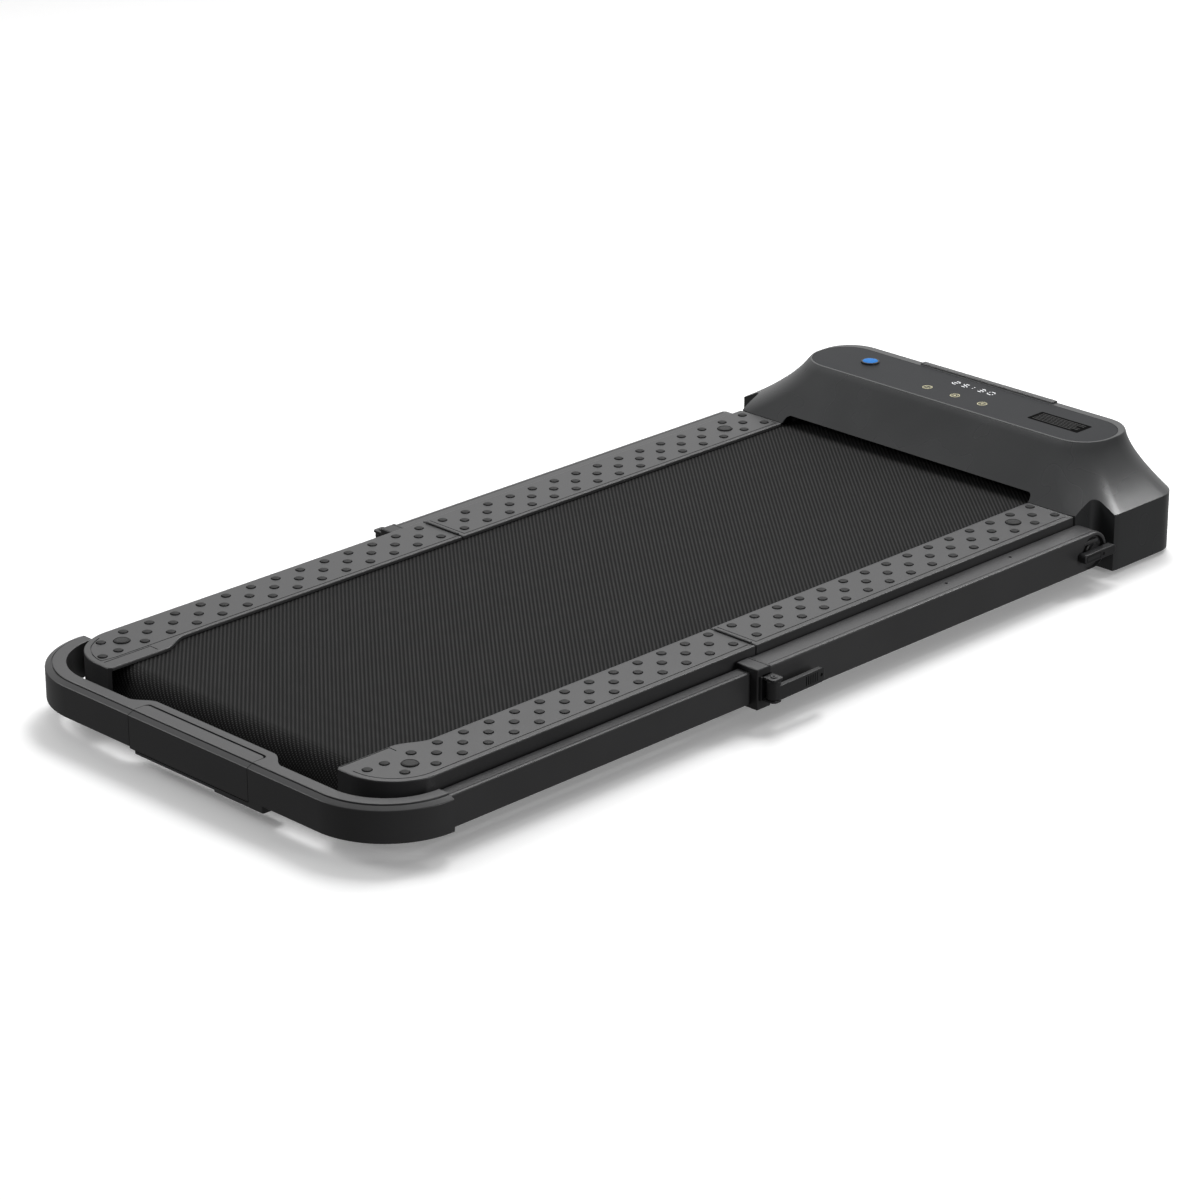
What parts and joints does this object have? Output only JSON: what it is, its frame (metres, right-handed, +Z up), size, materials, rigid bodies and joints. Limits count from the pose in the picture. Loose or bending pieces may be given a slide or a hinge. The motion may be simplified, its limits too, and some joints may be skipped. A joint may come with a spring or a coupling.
{
  "type": "folding treadmill",
  "caption": "Low walking treadmill with a belt deck that folds in half, a motor hood with a display, and a telescopic U handle round the deck.",
  "frame": {"origin": "middle of the machine's box, on the floor", "axes": "+Z up, +Y along the machine from the handle loop to the motor hood, +X to the right of a walker who faces the hood"},
  "size_m": [0.722, 1.45, 0.158],
  "materials": {
    "casing": "satin moulded, charcoal",
    "rail": "fine textured, dark grey",
    "belt": "fine diamond grip texture, black",
    "frame": "black powder coat",
    "board": "plain fibreboard",
    "steel": "bare turned steel",
    "arm": "satin painted extrusion, dark grey",
    "grip": "matt moulded, black",
    "rubber": "matt, black",
    "panel": "satin gloss, black",
    "circuit": "lacquered circuit board",
    "loop": "satin moulded, dark grey"
  },
  "bodies": {
    "base": {"front_rail_left": "rail", "front_rail_right": "rail", "front_beam_left": "frame", "front_beam_right": "frame", "front_crossmember": "frame", "front_deck_board": "board", "front_belly_pan": "casing", "fold_leaf_front_left": "steel", "fold_leaf_front_right": "steel", "fold_pin_left": "frame", "fold_pin_right": "frame", "belt_front": "belt", "front_roller_axle": "steel", "motor_body": "frame", "motor_bracket": "frame", "drive_belt": "rubber", "control_board": "circuit", "power_inlet": "grip", "hood": "casing", "display_panel": "panel", "hood_base": "casing", "front_foot_left": "rubber", "front_foot_right": "rubber", "pivot_bolt_left": "steel", "pivot_bolt_right": "steel"},
    "rear_deck": {"rear_rail_left": "rail", "rear_rail_right": "rail", "rear_beam_left": "frame", "rear_beam_right": "frame", "rear_crossmember": "frame", "rear_deck_board": "board", "rear_belly_pan": "casing", "fold_leaf_rear_left": "steel", "fold_leaf_rear_right": "steel", "belt_rear": "belt", "rear_roller_axle": "steel", "rear_foot_left": "rubber", "rear_foot_right": "rubber"},
    "handle_lower": {"outer_tube_left": "arm", "outer_tube_right": "arm", "clamp_collar_left": "grip", "clamp_collar_right": "grip"},
    "handle_upper": {"inner_tube_left": "arm", "inner_tube_right": "arm", "handle_loop": "loop"},
    "device_flap": {"device_flap": "loop"},
    "front_roller": {"front_roller": "steel"},
    "rear_roller": {"rear_roller": "steel"},
    "front_idler": {"front_idler": "steel"},
    "rear_idler": {"rear_idler": "steel"},
    "motor_rotor": {"motor_rotor": "steel"},
    "power_switch": {"power_switch": "rubber"},
    "transport_wheel_left": {"transport_wheel_left": "rubber"},
    "transport_wheel_right": {"transport_wheel_right": "rubber"},
    "collar_lever_left": {"collar_lever_left": "grip"},
    "collar_lever_right": {"collar_lever_right": "grip"},
    "pivot_knob_left": {"pivot_knob_left": "grip"},
    "pivot_knob_right": {"pivot_knob_right": "grip"}
  },
  "joints": [
    {"name": "deck_fold", "type": "hinge", "parent": "base", "child": "rear_deck", "pos_m": [0, -0.0735, 0.0865], "axis": [-1, 0, 0], "range_deg": [0, 179.5]},
    {"name": "handle_raise", "type": "hinge", "parent": "base", "child": "handle_lower", "pos_m": [0, 0.5355, 0.047], "axis": [-1, 0, 0], "range_deg": [0, 95]},
    {"name": "handle_telescope", "type": "slide", "parent": "handle_lower", "child": "handle_upper", "axis": [0, 1, 0], "range_m": [0, 0.281]},
    {"name": "device_flap_tilt", "type": "hinge", "parent": "handle_upper", "child": "device_flap", "pos_m": [0, -0.7225, 0.0288], "axis": [1, 0, 0], "range_deg": [0, 25]},
    {"name": "collar_lever_right_open", "type": "hinge", "parent": "handle_lower", "child": "collar_lever_right", "pos_m": [0.352, -0.0975, 0.049], "axis": [0, 0, -1], "range_deg": [0, 100]},
    {"name": "pivot_knob_right_turn", "type": "hinge", "parent": "handle_lower", "child": "pivot_knob_right", "pos_m": [0.34, 0.5355, 0.047], "axis": [1, 0, 0], "range_deg": [0, 90]},
    {"name": "transport_wheel_right_spin", "type": "hinge", "parent": "base", "child": "transport_wheel_right", "pos_m": [0.304, 0.6915, 0.02], "axis": [1, 0, 0], "continuous": true},
    {"name": "collar_lever_left_open", "type": "hinge", "parent": "handle_lower", "child": "collar_lever_left", "pos_m": [-0.352, -0.0975, 0.049], "axis": [0, 0, 1], "range_deg": [0, 100]},
    {"name": "pivot_knob_left_turn", "type": "hinge", "parent": "handle_lower", "child": "pivot_knob_left", "pos_m": [-0.34, 0.5355, 0.047], "axis": [-1, 0, 0], "range_deg": [0, 90]},
    {"name": "transport_wheel_left_spin", "type": "hinge", "parent": "base", "child": "transport_wheel_left", "pos_m": [-0.304, 0.6915, 0.02], "axis": [1, 0, 0], "continuous": true},
    {"name": "front_roller_spin", "type": "hinge", "parent": "base", "child": "front_roller", "pos_m": [0, 0.5815, 0.054], "axis": [1, 0, 0], "continuous": true},
    {"name": "rear_roller_spin", "type": "hinge", "parent": "rear_deck", "child": "rear_roller", "pos_m": [0, -0.6335, 0.054], "axis": [1, 0, 0], "continuous": true},
    {"name": "front_idler_spin", "type": "hinge", "parent": "base", "child": "front_idler", "pos_m": [0, -0.0495, 0.046], "axis": [1, 0, 0], "continuous": true},
    {"name": "rear_idler_spin", "type": "hinge", "parent": "rear_deck", "child": "rear_idler", "pos_m": [0, -0.0975, 0.046], "axis": [1, 0, 0], "continuous": true},
    {"name": "motor_spin", "type": "hinge", "parent": "base", "child": "motor_rotor", "pos_m": [0, 0.6685, 0.062], "axis": [1, 0, 0], "continuous": true},
    {"name": "power_switch_rock", "type": "hinge", "parent": "base", "child": "power_switch", "pos_m": [-0.202, 0.719, 0.042], "axis": [1, 0, 0], "range_deg": [-8, 8]}
  ],
  "couplings": [
    {"joint": "handle_telescope", "follows": "handle_raise", "m_per_rad": 0.169},
    {"joint": "rear_roller_spin", "follows": "front_roller_spin", "ratio": 1},
    {"joint": "front_idler_spin", "follows": "front_roller_spin", "ratio": -2.4433},
    {"joint": "rear_idler_spin", "follows": "front_roller_spin", "ratio": -2.4433},
    {"joint": "motor_spin", "follows": "front_roller_spin", "ratio": 2.6154}
  ]
}
